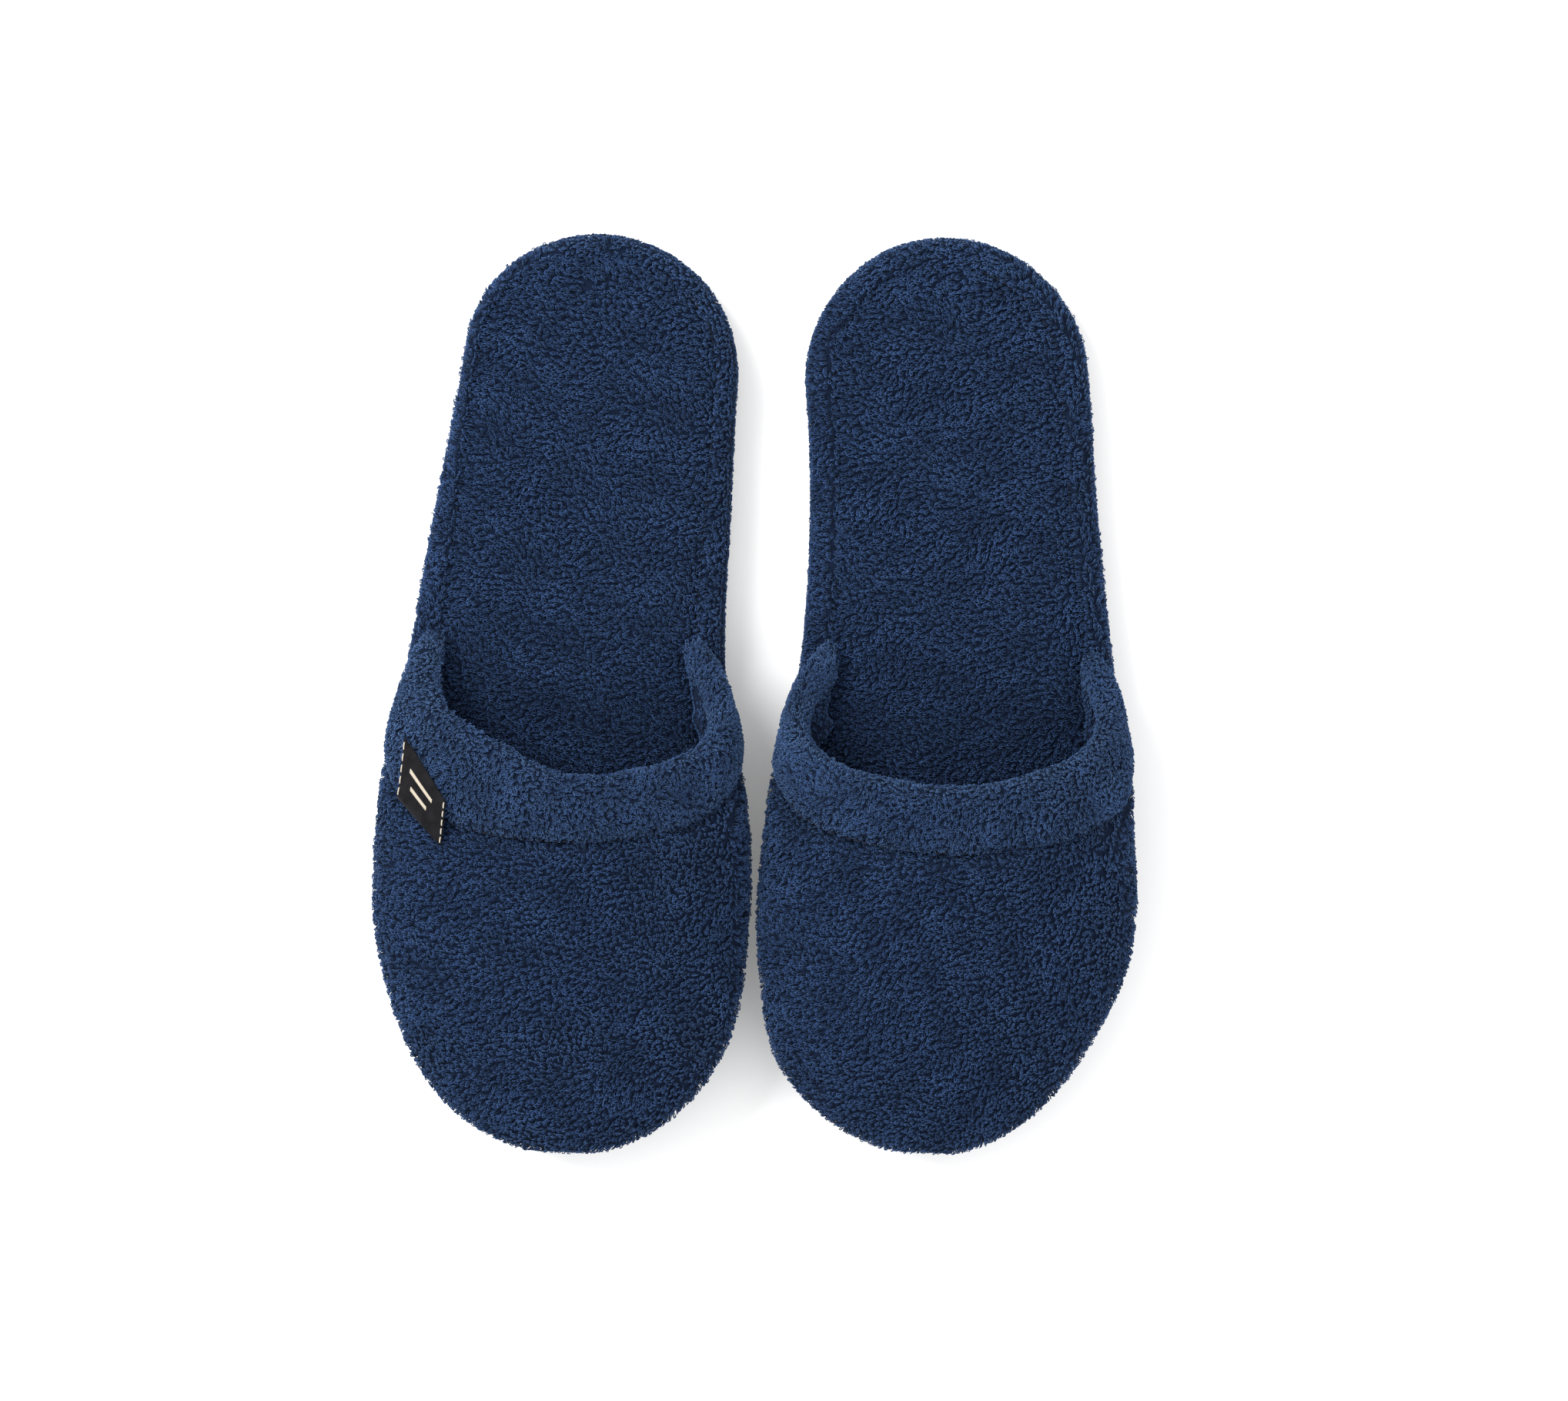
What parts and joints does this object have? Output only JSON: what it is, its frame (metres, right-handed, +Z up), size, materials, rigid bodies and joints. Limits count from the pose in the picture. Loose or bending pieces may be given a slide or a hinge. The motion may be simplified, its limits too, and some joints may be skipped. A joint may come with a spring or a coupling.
{
  "type": "spa slippers",
  "caption": "Pair of closed-toe mule slippers: a padded towelling vamp with a folded collar band on a wrapped foam sole whose heel bends up; a small woven label on one.",
  "frame": {"origin": "on the floor, under the middle of the pair's bounding box", "axes": "+Z up, toes towards -Y and heels towards +Y, the wearer's left slipper at +X and the right one at -X"},
  "size_m": [0.2396, 0.288, 0.0636],
  "materials": {
    "terry": "navy looped towelling",
    "outsole_rubber": "matt, finely textured",
    "midsole_foam": "closed-cell foam",
    "cushion_foam": "open-cell foam",
    "navy_thread": "twisted thread",
    "label_weave": "fine satin weave",
    "label_thread": "twisted thread"
  },
  "bodies": {
    "right_forefoot": {"right_outsole_front": "outsole_rubber", "right_midsole_front": "midsole_foam", "right_cushion_front": "cushion_foam", "right_footbed_front": "terry", "right_wrapper_front": "terry", "right_feather_seam_front": "navy_thread", "right_vamp_terry": "terry", "right_vamp_padding": "cushion_foam", "right_vamp_lining": "terry", "right_collar_band": "terry", "right_collar_seam": "navy_thread", "right_label": "label_weave", "right_label_stitches": "label_thread"},
    "right_heel": {"right_outsole_heel": "outsole_rubber", "right_midsole_heel": "midsole_foam", "right_cushion_heel": "cushion_foam", "right_footbed_heel": "terry", "right_wrapper_heel": "terry", "right_feather_seam_heel": "navy_thread"},
    "left_forefoot": {"left_outsole_front": "outsole_rubber", "left_midsole_front": "midsole_foam", "left_cushion_front": "cushion_foam", "left_footbed_front": "terry", "left_wrapper_front": "terry", "left_feather_seam_front": "navy_thread", "left_vamp_terry": "terry", "left_vamp_padding": "cushion_foam", "left_vamp_lining": "terry", "left_collar_band": "terry", "left_collar_seam": "navy_thread"},
    "left_heel": {"left_outsole_heel": "outsole_rubber", "left_midsole_heel": "midsole_foam", "left_cushion_heel": "cushion_foam", "left_footbed_heel": "terry", "left_wrapper_heel": "terry", "left_feather_seam_heel": "navy_thread"}
  },
  "joints": [
    {"name": "right_heel_flex", "type": "hinge", "parent": "right_forefoot", "child": "right_heel", "pos_m": [-0.0605, 0.0205, 0.0186], "axis": [1, 0, 0], "range_deg": [0, 45], "stiffness_Nm_per_rad": 0.8},
    {"name": "left_heel_flex", "type": "hinge", "parent": "left_forefoot", "child": "left_heel", "pos_m": [0.0605, 0.0205, 0.0186], "axis": [1, 0, 0], "range_deg": [0, 45], "stiffness_Nm_per_rad": 0.8},
    {"name": "slippers_apart", "type": "slide", "parent": "right_forefoot", "child": "left_forefoot", "axis": [1, 0, 0], "range_m": [0, 0.15]}
  ]
}
